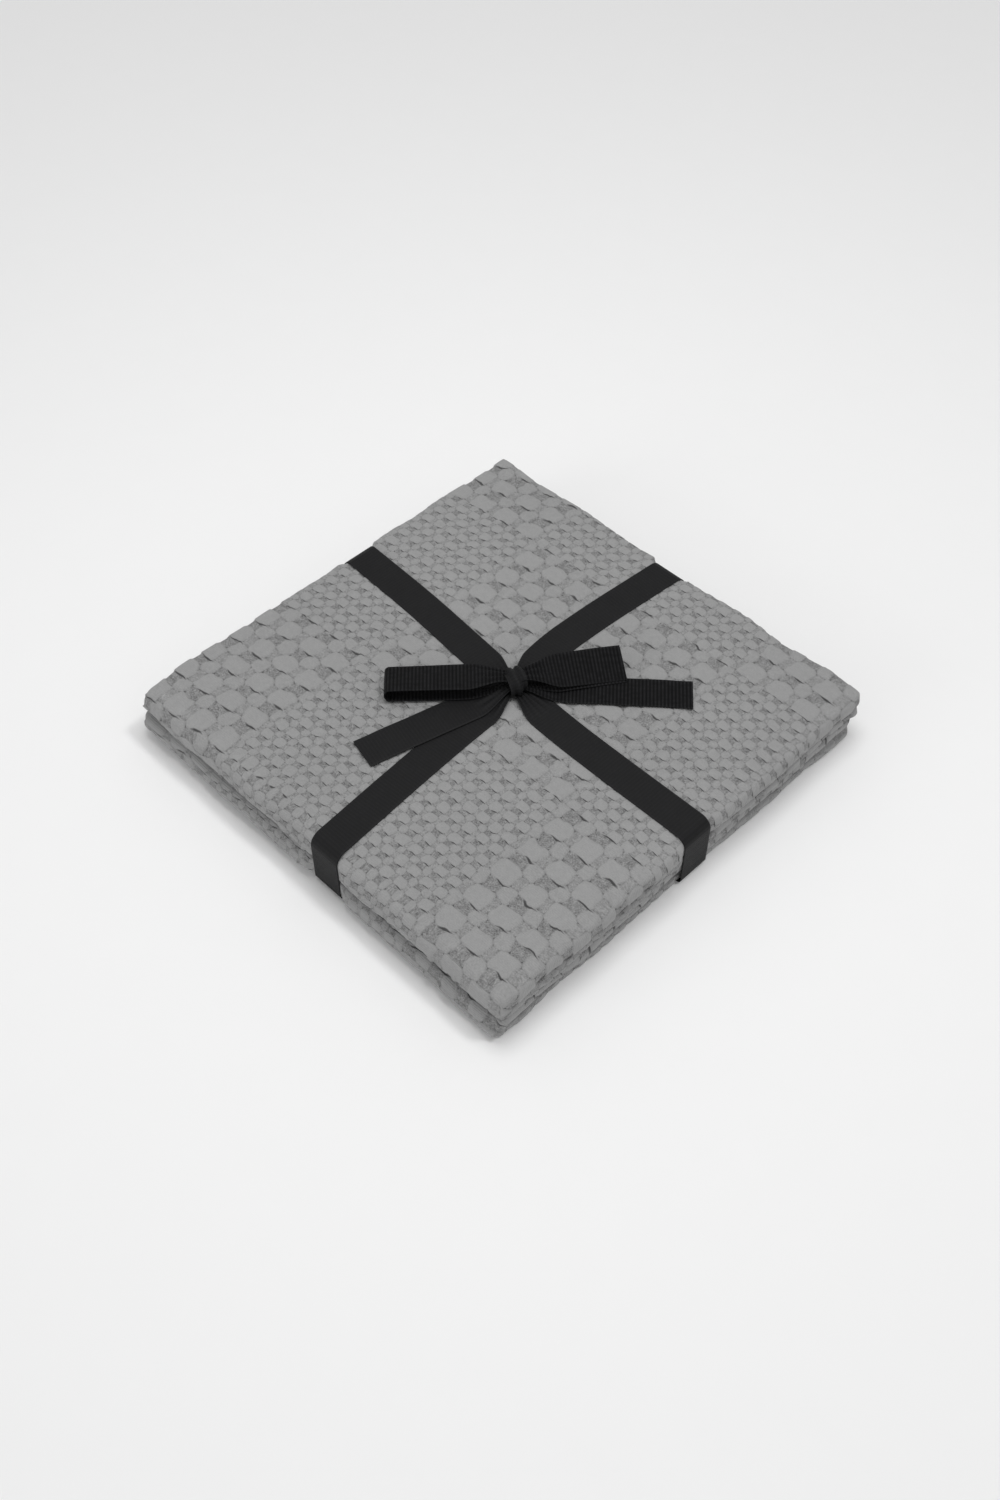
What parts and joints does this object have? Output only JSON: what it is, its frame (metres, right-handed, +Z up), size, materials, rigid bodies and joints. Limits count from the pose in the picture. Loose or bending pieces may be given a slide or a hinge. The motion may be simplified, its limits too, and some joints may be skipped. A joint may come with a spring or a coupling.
{
  "type": "bath towel set",
  "caption": "Folded bath towels in a chequered basket weave, stacked and tied both ways with a black grosgrain ribbon and a bow.",
  "frame": {"origin": "centre of the stack's underside", "axes": "+Z up, out of the top of the stack; -Y is the side where each towel shows one smooth fold"},
  "size_m": [0.35, 0.3499, 0.0611],
  "materials": {
    "towel_cotton": "matt grey cotton in a raised basket weave",
    "ribbon_grosgrain": "black ribbed grosgrain with a dull sheen"
  },
  "bodies": {
    "stack": {"towel_lower": "towel_cotton", "towel_upper": "towel_cotton", "ribbon_band_x": "ribbon_grosgrain", "ribbon_band_y": "ribbon_grosgrain", "bow_knot": "ribbon_grosgrain", "bow_tail_left_held": "ribbon_grosgrain", "bow_tail_right_held": "ribbon_grosgrain"},
    "loop_left": {"bow_loop_left": "ribbon_grosgrain"},
    "loop_right": {"bow_loop_right": "ribbon_grosgrain"},
    "tail_left": {"bow_tail_left_end": "ribbon_grosgrain"},
    "tail_right": {"bow_tail_right_end": "ribbon_grosgrain"}
  },
  "joints": [
    {"name": "loop_left_lift", "type": "hinge", "parent": "stack", "child": "loop_left", "pos_m": [-0.00073, 0.00249, 0.0558], "axis": [-0.7254, 0.6884, 0], "range_deg": [0, 50]},
    {"name": "loop_right_lift", "type": "hinge", "parent": "stack", "child": "loop_right", "pos_m": [0.00864, 0.01437, 0.0558], "axis": [0.8387, -0.5446, 0], "range_deg": [0, 50]},
    {"name": "tail_left_lift", "type": "hinge", "parent": "stack", "child": "tail_left", "pos_m": [-0.01005, -0.05036, 0.0459], "axis": [-0.9703, 0.2419, 0], "range_deg": [0, 75]},
    {"name": "tail_right_lift", "type": "hinge", "parent": "stack", "child": "tail_right", "pos_m": [0.06827, 0.06442, 0.0459], "axis": [0.6626, -0.749, 0], "range_deg": [0, 75]}
  ]
}
